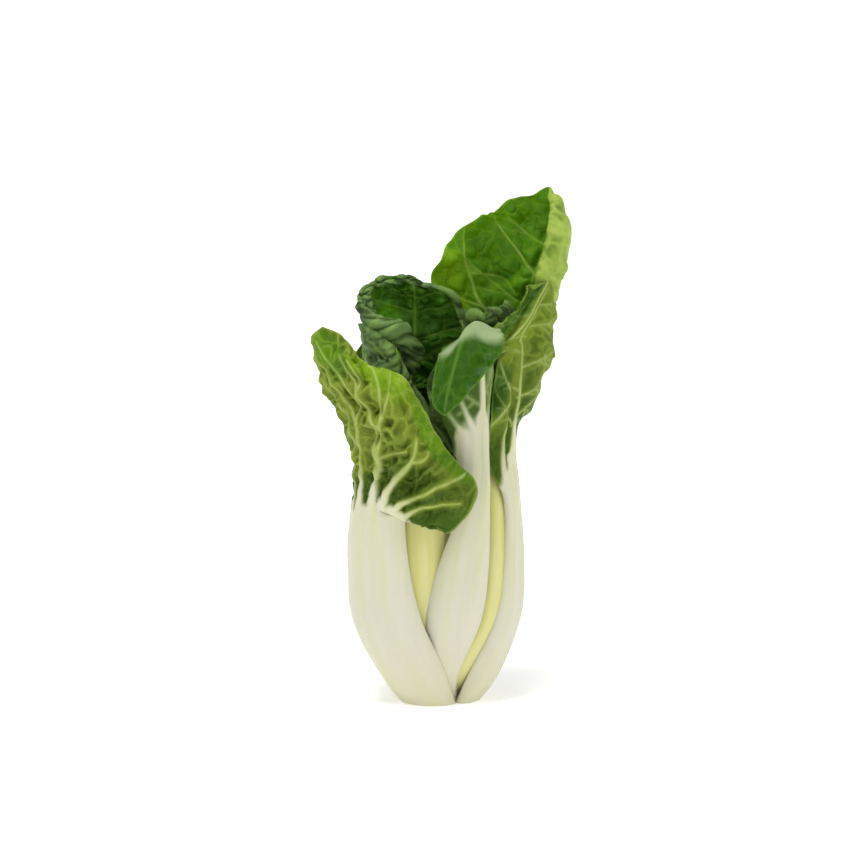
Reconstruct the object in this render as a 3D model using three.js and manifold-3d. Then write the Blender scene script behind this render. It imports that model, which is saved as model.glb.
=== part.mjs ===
// A head of bok choy that stands on its trimmed root end: a short root crown with
// twelve leaves round it, each leaf one solid of stalk and blade.
// Millimetres, +Z up, origin at the centre of the cut face that it stands on.

import * as THREE from 'three';
import Module from 'manifold-3d';
import { mergeVertices } from 'three/addons/utils/BufferGeometryUtils.js';

// Driving dimensions
const gap = 0.3; // clearance kept between neighbouring pieces
const crownRadius = 9;
const crownShoulder = 4; // height of the crown's straight side
const crownHeight = 9;
const crownSides = 32;
const stalkThickness = 7; // at the middle of an outer stalk
const innerStalkThickness = 4.5;
const stalkEdge = 2.2; // at the margin of a stalk
const bladeThickness = 1.3;
const archAngle = 25; // degrees that a section bows outwards at midrib and margin
const handle = 0.37; // length of a section curve's handles, as a share of its chord
const rowLength = 9; // spacing of the sections along a leaf
const halfColumns = 4; // facets across each half of a leaf
const tipCut = 0.12; // share of the last span left off, so that a tip stays blunt
const stalkFade = 0.9; // spans over which a stalk thins into the blade
const trimBlock = 400; // side of the block that trims the root end flush

const colours = {
  crown: '#d9d8a8',
  outer: '#7f9a45',
  middle: '#5f8f3c',
  inner: '#37562f',
};

// Each leaf has three rails of points from the root end to the tip: its midrib and its
// two margins, left and right as seen from outside. bladeFrom is the point of the rails,
// counted from 0, where the stalk has given way to the blade. leftArch holds pairs of a
// rail point and an angle, where a half of the blade bows more than archAngle.
const leaves = {
  leaf_front_left: {
    midrib: [
      [-4, -11, -3], [-13, -17, 12], [-22, -23, 36], [-24, -25, 60], [-25, -26, 84],
      [-26, -27, 92], [-27, -28, 100], [-30, -29, 114], [-33, -29, 127], [-36, -28, 138],
      [-41, -26, 150], [-44.5, -24, 158], [-46.5, -24, 163]
    ],
    left: [
      [-7, -3, -3], [-20.5, -4, 12], [-33.5, -4, 36], [-35.5, -5, 60], [-35, -6, 84],
      [-34.5, -7.5, 91], [-34, -9, 98], [-34, -15, 110], [-40, -17, 122],
      [-48, -19, 136], [-52, -21, 149], [-51.5, -22, 158], [-46.5, -24, 163]
    ],
    right: [
      [10, -12, -3], [4.5, -19, 16], [-5, -25, 38], [-10.5, -27, 62], [-12, -29, 84],
      [-7.5, -33.5, 84.2], [5, -41.5, 77.5], [18, -42, 96], [5, -38, 113],
      [-12.5, -33, 143], [-28, -29, 148], [-38, -26, 159], [-46.5, -24, 163]
    ],
    bladeFrom: 4.6,
    tone: 'outer',
  },
  leaf_front_centre: {
    midrib: [
      [6, -8, 2], [7, -14, 14], [8.5, -21, 38], [12.5, -23, 62], [18, -22, 90],
      [19, -20, 114], [20.5, -21, 138], [18, -26, 165], [12, -37, 162], [6, -44, 141],
      [4, -45, 128]
    ],
    left: [
      [0, -9, 2], [0, -15, 14], [-5, -19, 38], [2, -23, 62], [11, -23, 90],
      [8, -24, 112], [1, -26, 132], [3.5, -29, 153], [1, -37, 150], [-1, -42.5, 134],
      [4, -45, 128]
    ],
    right: [
      [9, -7, 2], [10, -13, 14], [20, -18, 38], [23, -20, 62], [23, -20, 90],
      [23, -19, 114], [24, -18, 138], [27, -24, 161], [28, -36, 155], [14, -44, 137],
      [4, -45, 128]
    ],
    bladeFrom: 5.3,
    tone: 'middle',
  },
  leaf_right: {
    midrib: [
      [11, -7, -3], [22, -9, 13], [31, -10, 38], [32, -11, 62], [31.5, -10, 88],
      [31, -12, 110], [34, -12, 134], [37.5, -11, 155], [43, -9, 170], [49, -6, 181]
    ],
    left: [
      [8, -11, -3], [14.5, -15, 13], [26, -16, 38], [29.5, -16, 62], [29.5, -15, 88],
      [23, -17, 104], [24, -19, 128], [27, -16, 150], [31, -13, 163], [49, -6, 181]
    ],
    right: [
      [13, 2, -3], [25.5, 4, 13], [34, 8, 38], [34.5, 8, 62], [32, 6, 88], [32, 2, 108],
      [41, -1, 126], [50, -2, 145], [52.5, -3, 163], [49, -6, 181]
    ],
    bladeFrom: 5.2,
    tone: 'outer',
  },
  leaf_back_right: {
    midrib: [
      [8, 8, -3], [18, 16, 13], [25, 22, 38], [27, 24, 62], [29, 22, 95], [33, 19, 143],
      [38, 17, 166], [43, 16, 184], [49, 14, 203], [49, 12, 219]
    ],
    left: [
      [11, 2, -3], [19, 3, 13], [27, 4, 38], [28.5, 4, 62], [29, 4, 95], [41, 8, 143],
      [43, 2, 162], [43, -1, 182], [47.5, 1, 204], [49, 12, 219]
    ],
    right: [
      [3, 11, -3], [8, 24, 13], [9, 32, 38], [12, 33, 62], [20, 28, 95], [20, 22, 150],
      [0, 18, 176], [9, 18, 198], [27, 16, 210], [49, 12, 219]
    ],
    leftArch: [[0, 25], [4, 25], [5, 60], [6, 104], [8, 108], [9, 100]],
    bladeFrom: 4.6,
    tone: 'middle',
  },
  leaf_back_left: {
    midrib: [
      [-8, 7, -3], [-18, 14, 12], [-25, 20, 36], [-27, 22, 60], [-26, 23, 84],
      [-27, 26, 104], [-29, 31, 122], [-31, 37, 138], [-30, 43, 150]
    ],
    left: [
      [-2, 12, -3], [-6, 23, 12], [-7, 31, 36], [-8, 33, 60], [-9, 34, 84],
      [-7, 40, 104], [-6, 46, 124], [-12, 50, 152], [-30, 43, 150]
    ],
    right: [
      [-7, 0, -3], [-19, 2, 12], [-30, 1, 36], [-31, 0, 60], [-30, 2, 84], [-31, 7, 101],
      [-36, 12, 119], [-40, 22, 137], [-30, 43, 150]
    ],
    bladeFrom: 4.6,
    tone: 'outer',
  },
  leaf_back: {
    midrib: [
      [0, 9, -1], [1, 17, 14], [2, 24, 38], [3, 27, 62], [4, 29, 86], [4, 32, 106],
      [4, 37, 126], [3, 44, 146], [3, 49, 162]
    ],
    left: [
      [6, 7, -1], [12, 12, 14], [17, 18, 38], [17, 20, 62], [16, 24, 86], [22, 28, 106],
      [27, 32, 126], [21, 42, 149], [3, 49, 162]
    ],
    right: [
      [-6, 7, -1], [-11, 12, 14], [-14, 18, 38], [-14, 21, 62], [-12, 24, 86],
      [-16, 28, 106], [-21, 33, 126], [-16, 43, 148], [3, 49, 162]
    ],
    bladeFrom: 4.6,
    tone: 'middle',
  },
  inner_front: {
    midrib: [
      [0, -5, 2], [-1, -12, 16], [-3, -19.5, 38], [-3, -22.5, 62], [-4, -20, 88],
      [-6, -15, 108], [-8, -13, 124], [-9, -13, 138]
    ],
    left: [
      [-5, -4, 2], [-11, -11, 16], [-19, -17, 38], [-21, -18, 62], [-19, -17, 88],
      [-17, -13, 108], [-16, -10, 124], [-9, -13, 138]
    ],
    right: [
      [5, -4, 2], [7, -8, 16], [8, -12, 38], [8, -14, 62], [6, -13, 88], [3, -12, 108],
      [0, -12, 124], [-9, -13, 138]
    ],
    bladeFrom: 4,
    tone: 'inner',
    inner: true,
  },
  inner_left: {
    midrib: [
      [-8, 0, 4], [-16, -2, 30], [-22, -4, 60], [-25, -6, 90], [-25, -8, 115],
      [-26, -9, 134], [-29, -9, 152], [-32, -9, 163]
    ],
    left: [
      [-9, 5, 4], [-17, 6, 30], [-23, 7, 60], [-27, 7, 90], [-28, 6, 115], [-27, 5, 135],
      [-27, 3, 153], [-32, -9, 163]
    ],
    right: [
      [-5, -6, 4], [-10, -10, 30], [-14, -12, 60], [-16, -14, 90], [-16, -16, 112],
      [-14.5, -17, 131], [-21, -17, 150], [-32, -9, 163]
    ],
    bladeFrom: 3.6,
    tone: 'inner',
    inner: true,
  },
  inner_right: {
    midrib: [
      [7, -4, 2], [13, -13.5, 16], [24.5, -15, 38], [27, -15.5, 62], [26.5, -13, 88],
      [25, -6, 112], [25, -4, 134], [26, -6, 154], [25, -12, 167], [21, -18, 166]
    ],
    left: [
      [4, -6, 2], [6, -12, 16], [17, -15, 38], [20, -16, 62], [19, -14, 88],
      [15, -10, 112], [12, -11, 134], [13, -13, 154], [16, -17, 164], [21, -18, 166]
    ],
    right: [
      [8, 1, 2], [20, -5, 16], [28, -5, 38], [31, -4, 62], [31, -2, 88], [33, 1, 112],
      [35, 0, 134], [37, -3, 154], [33, -9, 166], [21, -18, 166]
    ],
    bladeFrom: 4.6,
    tone: 'inner',
    inner: true,
  },
  inner_centre: {
    midrib: [
      [-2, 4, 4], [-5, 8, 30], [-9, 9, 60], [-12, 8, 90], [-17, 6, 115], [-16, 6, 133],
      [-10, 9, 150], [-8, 10, 163], [-8, 9, 173], [-10, 8, 180]
    ],
    left: [
      [2, 6, 4], [4, 10, 30], [4, 12, 60], [2, 12, 90], [3, 11, 115], [10, 10, 135],
      [14, 10, 150], [12, 11, 164], [6, 10, 175], [-10, 8, 180]
    ],
    right: [
      [-6, 3, 4], [-12, 6, 30], [-17, 7, 60], [-20, 6, 90], [-23, 3, 113], [-18, 0, 130],
      [-13, -3, 150], [-31, -3, 167], [-29, 3, 178], [-10, 8, 180]
    ],
    bladeFrom: 3.6,
    tone: 'inner',
    inner: true,
  },
  heart_right: {
    midrib: [
      [4, 0, 6], [7, 1, 30], [8, 1, 60], [8, 0, 90], [8, -2, 112], [7, -5, 130],
      [5, -8, 144], [3, -12, 149]
    ],
    left: [
      [3, -3, 6], [4, -5, 30], [4, -6, 60], [3, -8, 90], [0, -12, 112], [-2, -14, 128],
      [-2, -15, 140], [3, -12, 149]
    ],
    right: [
      [3, 4, 6], [5, 7, 30], [6, 8, 60], [6, 7, 90], [8, 5, 112], [10, 3, 130],
      [9, -2, 145], [3, -12, 149]
    ],
    bladeFrom: 3.6,
    tone: 'inner',
    inner: true,
  },
  heart_back: {
    midrib: [
      [-1, 2, 6], [-2, 3, 30], [-3, 3, 60], [-4, 2, 90], [-4, 1, 110], [-4, -2, 122]
    ],
    left: [
      [2, 2, 6], [3, 4, 30], [3, 4, 60], [3, 3, 90], [3, 1, 108], [-4, -2, 122]
    ],
    right: [
      [-4, 0, 6], [-6, 0, 30], [-8, -2, 60], [-10, -4, 90], [-10, -6, 108], [-4, -2, 122]
    ],
    bladeFrom: 2.6,
    tone: 'inner',
    inner: true,
  },
};

const wasm = await Module();
wasm.setup();

const degrees = (angle) => THREE.MathUtils.degToRad(angle);

function railPoint(points, k) {
  const last = points.length - 1;
  const span = Math.min(Math.floor(k), last - 1);
  const t = k - span;
  const at = (i) => new THREE.Vector3(...points[i]);
  const p1 = at(span);
  const p2 = at(span + 1);
  const p0 = span > 0 ? at(span - 1) : p1.clone().multiplyScalar(2).sub(p2);
  const p3 = span + 2 <= last ? at(span + 2) : p2.clone().multiplyScalar(2).sub(p1);
  const blend = (a, b, c, d) => 0.5 * (2 * b + (c - a) * t + (2 * a - 5 * b + 4 * c - d) * t * t
    + (3 * b - a - 3 * c + d) * t * t * t);
  return new THREE.Vector3(
    blend(p0.x, p1.x, p2.x, p3.x),
    blend(p0.y, p1.y, p2.y, p3.y),
    blend(p0.z, p1.z, p2.z, p3.z),
  );
}

function keyed(pairs, k, otherwise) {
  if (!pairs) return otherwise;
  const next = pairs.findIndex(([at]) => at > k);
  if (next === 0) return pairs[0][1];
  if (next < 0) return pairs[pairs.length - 1][1];
  const [k0, v0] = pairs[next - 1];
  const [k1, v1] = pairs[next];
  return THREE.MathUtils.lerp(v0, v1, THREE.MathUtils.smoothstep(k, k0, k1));
}

// Places of the sections along the rails, evenly spaced on the longest rail of each span.
function sectionPlaces(leaf) {
  const places = [];
  const last = leaf.midrib.length - 1;
  for (let span = 0; span < last; span += 1) {
    const lengths = [leaf.midrib, leaf.left, leaf.right].map(
      (rail) => railPoint(rail, span).distanceTo(railPoint(rail, span + 1)),
    );
    const steps = Math.max(2, Math.round(Math.max(...lengths) / rowLength));
    for (let i = 0; i < steps; i += 1) places.push(span + i / steps);
  }
  places.push(last - tipCut);
  return places.filter((k) => k <= last - tipCut);
}

// One half of a section: a Bezier curve from the midrib to the margin, bowed outwards.
function halfSection(middle, margin, outward, angle) {
  const chord = margin.clone().sub(middle);
  const length = chord.length();
  const along = chord.normalize();
  const out = outward.clone().addScaledVector(along, -outward.dot(along)).normalize();
  const reach = handle * length * (1 + 0.45 * angle * angle);
  const start = middle.clone()
    .addScaledVector(along, reach * Math.cos(angle))
    .addScaledVector(out, reach * Math.sin(angle));
  const end = margin.clone()
    .addScaledVector(along, -reach * Math.cos(angle))
    .addScaledVector(out, reach * Math.sin(angle));
  return new THREE.CubicBezierCurve3(middle, start, end, margin).getPoints(halfColumns);
}

// The middle surface of a leaf, as rows of points from its left to its right margin.
function leafGrid(leaf, places) {
  const last = leaf.midrib.length - 1;
  return places.map((k) => {
    const step = 0.02;
    const tangent = railPoint(leaf.midrib, Math.min(k + step, last))
      .sub(railPoint(leaf.midrib, Math.max(k - step, 0))).normalize();
    const middle = railPoint(leaf.midrib, k);
    const left = railPoint(leaf.left, k);
    const right = railPoint(leaf.right, k);
    const outward = right.clone().sub(left).cross(tangent).normalize();
    const leftAngle = degrees(keyed(leaf.leftArch, k, archAngle));
    const leftHalf = halfSection(middle, left, outward, leftAngle);
    const rightHalf = halfSection(middle, right, outward, degrees(archAngle));
    return [...leftHalf.reverse(), ...rightHalf.slice(1)];
  });
}

function leafThickness(leaf, k, side) {
  const middle = leaf.inner ? innerStalkThickness : stalkThickness;
  const stalk = THREE.MathUtils.lerp(middle, stalkEdge, side * side);
  const blade = THREE.MathUtils.smoothstep(k, leaf.bladeFrom - stalkFade, leaf.bladeFrom);
  return THREE.MathUtils.lerp(stalk, bladeThickness, blade);
}

// Wraps the middle surface in a closed skin, swollen on every side by the clearance given.
function leafSolid(leaf, clearance) {
  const places = sectionPlaces(leaf);
  const grid = leafGrid(leaf, places);
  const columns = 2 * halfColumns + 1;
  const ring = 2 * columns;
  const positions = new Float32Array(grid.length * ring * 3);
  grid.forEach((row, i) => {
    row.forEach((point, j) => {
      const across = row[Math.min(j + 1, columns - 1)].clone().sub(row[Math.max(j - 1, 0)]);
      const along = grid[Math.min(i + 1, grid.length - 1)][j].clone()
        .sub(grid[Math.max(i - 1, 0)][j]);
      const normal = across.clone().cross(along).normalize();
      const side = Math.abs(j - halfColumns) / halfColumns;
      const half = leafThickness(leaf, places[i], side) / 2 + clearance;
      const centre = point.clone();
      if (side === 1) {
        centre.addScaledVector(across.normalize(), clearance * Math.sign(j - halfColumns));
      }
      const outer = centre.clone().addScaledVector(normal, half);
      const inner = centre.clone().addScaledVector(normal, -half);
      outer.toArray(positions, (i * ring + j) * 3);
      inner.toArray(positions, (i * ring + ring - 1 - j) * 3);
    });
  });
  const faces = [];
  const quad = (a, b, c, d) => faces.push(a, b, c, a, c, d);
  for (let i = 0; i + 1 < grid.length; i += 1) {
    for (let j = 0; j < ring; j += 1) {
      const next = (j + 1) % ring;
      quad(i * ring + j, i * ring + next, (i + 1) * ring + next, (i + 1) * ring + j);
    }
  }
  const top = (grid.length - 1) * ring;
  for (let j = 0; j + 1 < columns; j += 1) {
    quad(j, ring - 1 - j, ring - 2 - j, j + 1);
    quad(top + j, top + j + 1, top + ring - 2 - j, top + ring - 1 - j);
  }
  return new wasm.Manifold(new wasm.Mesh({
    numProp: 3,
    vertProperties: positions,
    triVerts: new Uint32Array(faces),
  }));
}

function solidOf(source) {
  const geometry = source.clone();
  geometry.deleteAttribute('normal');
  geometry.deleteAttribute('uv');
  const merged = mergeVertices(geometry, 1e-4);
  return new wasm.Manifold(new wasm.Mesh({
    numProp: 3,
    vertProperties: new Float32Array(merged.attributes.position.array),
    triVerts: new Uint32Array(merged.index.array),
  }));
}

function crownSolid(clearance) {
  const radius = crownRadius + clearance;
  const profile = [
    new THREE.Vector2(0, 0),
    new THREE.Vector2(radius, 0),
    new THREE.Vector2(radius, crownShoulder),
    new THREE.Vector2(0, crownHeight + clearance),
  ];
  const lathe = new THREE.LatheGeometry(profile, crownSides);
  lathe.rotateX(Math.PI / 2);
  return solidOf(lathe);
}

function largestBody(solid) {
  return solid.decompose().reduce((best, body) => (body.volume() > best.volume() ? body : best));
}

function pieceMesh(name, solid, material) {
  const mesh = solid.getMesh();
  const geometry = new THREE.BufferGeometry();
  geometry.setAttribute('position', new THREE.BufferAttribute(mesh.vertProperties, 3));
  geometry.setIndex(new THREE.BufferAttribute(mesh.triVerts, 1));
  geometry.computeVertexNormals();
  const piece = new THREE.Mesh(geometry, material);
  piece.name = name;
  return piece;
}

const bokChoy = new THREE.Group();
bokChoy.name = 'bok_choy';

const crownMaterial = new THREE.MeshStandardMaterial({
  color: colours.crown, roughness: 0.55, metalness: 0,
});
bokChoy.add(pieceMesh('root_crown', crownSolid(0), crownMaterial));

// Every leaf is trimmed flush at the cut face, then gives way to the crown and to the
// leaves that were placed before it.
const belowBlock = new THREE.BoxGeometry(trimBlock, trimBlock, trimBlock);
belowBlock.translate(0, 0, -trimBlock / 2);
let taken = crownSolid(gap).add(solidOf(belowBlock));
for (const [name, leaf] of Object.entries(leaves)) {
  const body = largestBody(leafSolid(leaf, 0).subtract(taken));
  const material = new THREE.MeshStandardMaterial({
    color: colours[leaf.tone], roughness: 0.5, metalness: 0,
  });
  bokChoy.add(pieceMesh(name, body, material));
  taken = taken.add(leafSolid(leaf, gap)).add(body);
}

export default bokChoy;
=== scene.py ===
import math

import bmesh
import bpy
import numpy as np
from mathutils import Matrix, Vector


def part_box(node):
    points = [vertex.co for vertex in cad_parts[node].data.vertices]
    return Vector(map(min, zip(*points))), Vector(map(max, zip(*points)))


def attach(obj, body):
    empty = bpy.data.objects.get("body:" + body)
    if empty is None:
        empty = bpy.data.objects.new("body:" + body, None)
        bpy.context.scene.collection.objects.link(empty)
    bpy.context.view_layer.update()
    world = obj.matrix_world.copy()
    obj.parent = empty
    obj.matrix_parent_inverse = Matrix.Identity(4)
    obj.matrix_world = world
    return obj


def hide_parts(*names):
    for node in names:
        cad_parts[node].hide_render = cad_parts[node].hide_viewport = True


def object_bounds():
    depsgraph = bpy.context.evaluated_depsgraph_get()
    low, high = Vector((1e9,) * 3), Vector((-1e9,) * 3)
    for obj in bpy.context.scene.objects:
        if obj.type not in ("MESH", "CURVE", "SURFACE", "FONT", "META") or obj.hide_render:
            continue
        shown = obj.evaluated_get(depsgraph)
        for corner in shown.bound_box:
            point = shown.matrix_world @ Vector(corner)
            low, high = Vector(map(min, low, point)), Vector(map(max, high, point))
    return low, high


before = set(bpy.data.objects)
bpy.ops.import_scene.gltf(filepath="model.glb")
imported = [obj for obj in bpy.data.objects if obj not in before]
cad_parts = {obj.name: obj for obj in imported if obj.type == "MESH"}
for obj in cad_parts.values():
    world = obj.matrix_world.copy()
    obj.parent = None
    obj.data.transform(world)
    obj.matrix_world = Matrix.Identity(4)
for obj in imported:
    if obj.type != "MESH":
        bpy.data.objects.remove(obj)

cadLow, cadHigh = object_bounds()
crownLow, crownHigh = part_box("root_crown")

# the leaf points below are drawn in millimetres on a head this tall
drawnHeight = 218.34
unit = (cadHigh[2] - cadLow[2]) / drawnHeight

mesh = {
    "spacing": 0.6,  # mm between neighbouring points
    "tipLeft": 0.03,  # share of the last span left off, so that the tip closes cleanly
    "arch": 25.0,  # degrees that a section bows outwards
    "handle": 0.37,  # length of a section's curve handles, as a share of its width
    "steadyTip": 0.3,  # spans before the tip from which the direction across is kept
    "softRidge": (3, 9),  # mm either side of the midrib that are rounded off, fully and at most
}


# smooth curves and patterns for all the leaves

def railAt(points, k):
    # a smooth curve through the points; k counts its spans from the first point on
    ends = np.array(points, float)
    rail = np.vstack([2 * ends[0] - ends[1], ends, 2 * ends[-1] - ends[-2]])
    span = np.minimum(k.astype(int), len(points) - 2)
    t = (k - span)[:, None]
    a, b, c, d = (rail[span + i] for i in range(4))
    return 0.5 * (2 * b + (c - a) * t + (2 * a - 5 * b + 4 * c - d) * t ** 2
                  + (3 * b - a - 3 * c + d) * t ** 3)


def ease(x, low, high):
    t = np.clip((x - low) / (high - low), 0, 1)
    return t * t * (3 - 2 * t)


def keyed(pairs, k):
    # a value that changes along k as the (k, value) pairs say, or one that stays the same
    if not isinstance(pairs, list):
        return np.full(k.shape, float(pairs))
    places = np.array([place for place, value in pairs], float)
    values = np.array([value for place, value in pairs], float)
    k = np.clip(k, places[0], places[-1])
    i = np.clip(np.searchsorted(places, k, side="right") - 1, 0, len(places) - 2)
    t = ease(k, places[i], places[i + 1])
    return values[i] + (values[i + 1] - values[i]) * t


def unitVector(v):
    return v / np.maximum(np.linalg.norm(v, axis=-1, keepdims=True), 1e-9)


def gridNormals(points):
    return unitVector(np.cross(np.gradient(points, axis=1), np.gradient(points, axis=0)))


def swell(x, y, size, seed, waves=14):
    # gentle rolling noise between about -1 and 1, from a few random waves
    draw = np.random.RandomState(seed)
    total = np.zeros_like(x)
    for _ in range(waves):
        angle = draw.uniform(0, 2 * math.pi)
        pace = 2 * math.pi / (size * draw.uniform(0.7, 1.7))
        total += np.sin(pace * (x * math.cos(angle) + y * math.sin(angle)) + draw.uniform(0, 2 * math.pi))
    return total / math.sqrt(waves / 2) * 0.7


def cells(x, y, size, seed):
    # distance to the border between the two nearest of many scattered centres
    draw = np.random.RandomState(seed)
    tableSide = 64
    table = draw.uniform(0.12, 0.88, (tableSide, tableSide, 2))
    x, y = x / size, y / size
    column, row = np.floor(x).astype(int), np.floor(y).astype(int)
    near = np.full(x.shape, 9.0)
    second = np.full(x.shape, 9.0)
    for i in (-1, 0, 1):
        for j in (-1, 0, 1):
            spot = table[(column + i) % tableSide, (row + j) % tableSide]
            away = np.hypot(column + i + spot[..., 0] - x, row + j + spot[..., 1] - y)
            second = np.minimum(second, np.maximum(near, away))
            near = np.minimum(near, away)
    return (second - near) * size / 2


# one leaf: three rails, sections between them, then the relief of the surface
# k counts the spans of the rails from the root end to the tip, and s runs from -1 at the left
# margin through 0 at the midrib to 1 at the right margin

def rowPlaces(leaf):
    last = len(leaf["midrib"]) - 1
    samples = 400  # to a span
    k = np.linspace(0, last, samples * last + 1)
    steps = [np.linalg.norm(np.diff(railAt(leaf[rail], k), axis=0), axis=1)
             for rail in ("midrib", "left", "right")]
    length = np.concatenate([[0], np.cumsum(np.maximum.reduce(steps))])
    rows = int(length[-1] / mesh["spacing"])
    places = np.interp(np.linspace(0, length[-1], rows), length, k)
    return np.minimum(places, last - mesh["tipLeft"])


def halfSections(leaf, side, k, middle, tangent, outward):
    # Bezier sections from the midrib to one margin, each carried on by the roll of that margin
    margin = railAt(leaf[side], k)
    start = np.radians(keyed(leaf.get(side + "Arch", mesh["arch"]), k))[:, None]
    chord = margin - middle
    length = np.maximum(np.linalg.norm(chord, axis=1, keepdims=True), 1e-6)
    along = chord / length
    out = unitVector(outward - (outward * along).sum(1, keepdims=True) * along)
    reach = mesh["handle"] * length * (1 + 0.45 * start ** 2)  # a strong arch takes longer handles
    p1 = middle + reach * (along * np.cos(start) + out * np.sin(start))
    p2 = margin - reach * (along * np.cos(start) - out * np.sin(start))
    roll = np.radians(keyed(leaf.get(side + "Roll", 0), k))
    width = keyed(leaf.get(side + "RollWidth", 8), k) * ease(np.abs(roll), 0, 0.8)
    sign = 1 if side == "right" else -1
    columns = max(12, int((1.12 * length.max() + width.max()) / mesh["spacing"]))
    q = np.linspace(0, 1, 4 * columns)[None, :, None]
    curve = ((1 - q) ** 3 * middle[:, None] + 3 * (1 - q) ** 2 * q * p1[:, None]
             + 3 * (1 - q) * q ** 2 * p2[:, None] + q ** 3 * margin[:, None])
    section = np.zeros((len(k), columns + 1, 3))
    rolled = np.zeros((len(k), columns + 1))
    for i in range(len(k)):
        way = np.concatenate([[0], np.cumsum(np.linalg.norm(np.diff(curve[i], axis=0), axis=1))])
        places = np.linspace(0, way[-1] + width[i], columns + 1)
        section[i] = np.stack([np.interp(places, way, curve[i][:, axis]) for axis in range(3)], -1)
        if width[i] > 0.01:
            past = places > way[-1]
            ahead = unitVector(curve[i][-1] - curve[i][-3])
            facing = unitVector(np.cross(ahead, tangent[i])) * sign * np.sign(roll[i])
            radius = width[i] / abs(roll[i])
            angle = (places[past] - way[-1]) / radius
            section[i][past] = (curve[i][-1] + np.outer(radius * np.sin(angle), ahead)
                                + np.outer(radius * (1 - np.cos(angle)), facing))
            rolled[i] = ease(places - way[-1], -2, 3)
    return section, rolled


def middleSurface(leaf):
    k = rowPlaces(leaf)
    last = len(leaf["midrib"]) - 1
    middle = railAt(leaf["midrib"], k)
    tangent = unitVector(np.gradient(middle, axis=0))
    across = railAt(leaf["right"], k) - railAt(leaf["left"], k)
    # the margins meet at the tip, where they no longer tell which way is across
    steady = np.searchsorted(k, last - mesh["steadyTip"])
    across[steady:] = across[steady]
    across = unitVector(across - (across * tangent).sum(1, keepdims=True) * tangent)
    outward = np.cross(across, tangent)
    left, leftRolled = halfSections(leaf, "left", k, middle, tangent, outward)
    right, rightRolled = halfSections(leaf, "right", k, middle, tangent, outward)
    points = np.concatenate([left[:, ::-1], right[:, 1:]], axis=1)
    rolled = np.concatenate([leftRolled[:, ::-1], rightRolled[:, 1:]], axis=1)
    s = np.concatenate([-np.linspace(1, 0, left.shape[1]), np.linspace(0, 1, right.shape[1])[1:]])
    return k, s, softMiddle(points, left.shape[1] - 1), rolled


def softMiddle(points, centre):
    # round off the ridge along the midrib, where the two half sections meet
    places = np.arange(points.shape[1])
    weight = 1 - ease(np.abs(places - centre) * mesh["spacing"], *mesh["softRidge"])
    reach = 5
    window = 2 * reach + 1
    smooth = points
    for _ in range(3):
        first = np.repeat(smooth[:, :1], reach, 1)
        final = np.repeat(smooth[:, -1:], reach, 1)
        padded = np.concatenate([first, smooth, final], axis=1)
        total = np.cumsum(np.concatenate([0 * padded[:, :1], padded], axis=1), axis=1)
        smooth = (total[:, window:] - total[:, :-window]) / window
    return points + (smooth - points) * weight[None, :, None]


def flattened(k, s, points):
    # each point's place on the leaf laid flat, in mm: across from the midrib and up along it
    centre = int(np.argmin(np.abs(s)))
    spine = points[:, centre]
    up = np.concatenate([[0], np.cumsum(np.linalg.norm(np.diff(spine, axis=0), axis=1))])
    steps = np.linalg.norm(np.diff(points, axis=1), axis=2)
    away = np.concatenate([np.zeros((len(k), 1)), np.cumsum(steps, axis=1)], axis=1)
    away = away - away[:, centre:centre + 1]
    tangent = unitVector(np.gradient(spine, axis=0))
    flat = np.zeros(points.shape[:2] + (2,))
    for columns, edge in ((slice(0, centre), 0), (slice(centre, None), -1)):
        chord = unitVector(points[:, edge] - spine)
        lean = np.clip((chord * tangent).sum(1), -0.95, 0.95)
        flat[:, columns, 0] = away[:, columns] * np.sqrt(1 - lean ** 2)[:, None]
        flat[:, columns, 1] = up[:, None] + np.abs(away[:, columns]) * lean[:, None]
    return flat, np.abs(away), up


def veinRoutes(leaf):
    # midrib, side veins worked out along the blade, and any listed with the leaf: (route, widths in mm)
    last = len(leaf["midrib"]) - 1
    begin = leaf["bladeFrom"]
    wide = leaf["veinWidth"]
    routes = list(leaf.get("handVeins", ()))
    if leaf.get("midribShown", True):
        places = (begin - 2.2, begin - 0.6, begin + 0.4, (begin + last) / 2, last - 0.2)
        widths = [wide * share for share in (2.6, 2.2, 1.3, 0.7, 0.3)]
        routes.append(([(place, 0) for place in places], widths))
    draw = np.random.RandomState(leaf["seed"])
    count = leaf["sideVeins"]
    for side in (-1, 1):
        for i in range(count):
            share = (i + draw.uniform(0.25, 0.75)) / count
            root = begin - 0.2 + share * (last - begin - 0.5)
            rise = leaf["veinRise"] * draw.uniform(0.75, 1.25) * (1 - 0.5 * share)
            bend = draw.uniform(-0.06, 0.06)
            thick = wide * (0.6 - 0.3 * share) * draw.uniform(0.7, 1.1)
            bough = [(root, 0), (root + rise * 0.14, side * (0.22 + bend)),
                     (root + rise * 0.4, side * (0.5 + bend)),
                     (root + rise * 0.72, side * 0.76), (root + rise, side * 0.97)]
            routes.append((bough, [thick, thick * 0.7, thick * 0.5, thick * 0.35, thick * 0.2]))
            for at, to in ((1, 0.62), (2, 0.82), (2, 0.97)):
                k0, s0 = bough[at]
                turn = draw.uniform(-0.25, 0.3) * rise
                twig = [(k0, s0), (k0 + turn * 0.6, s0 + (side * to - s0) * 0.5), (k0 + turn, side * to)]
                routes.append((twig, [thick * 0.4, thick * 0.26, thick * 0.16]))
    return routes


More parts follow.
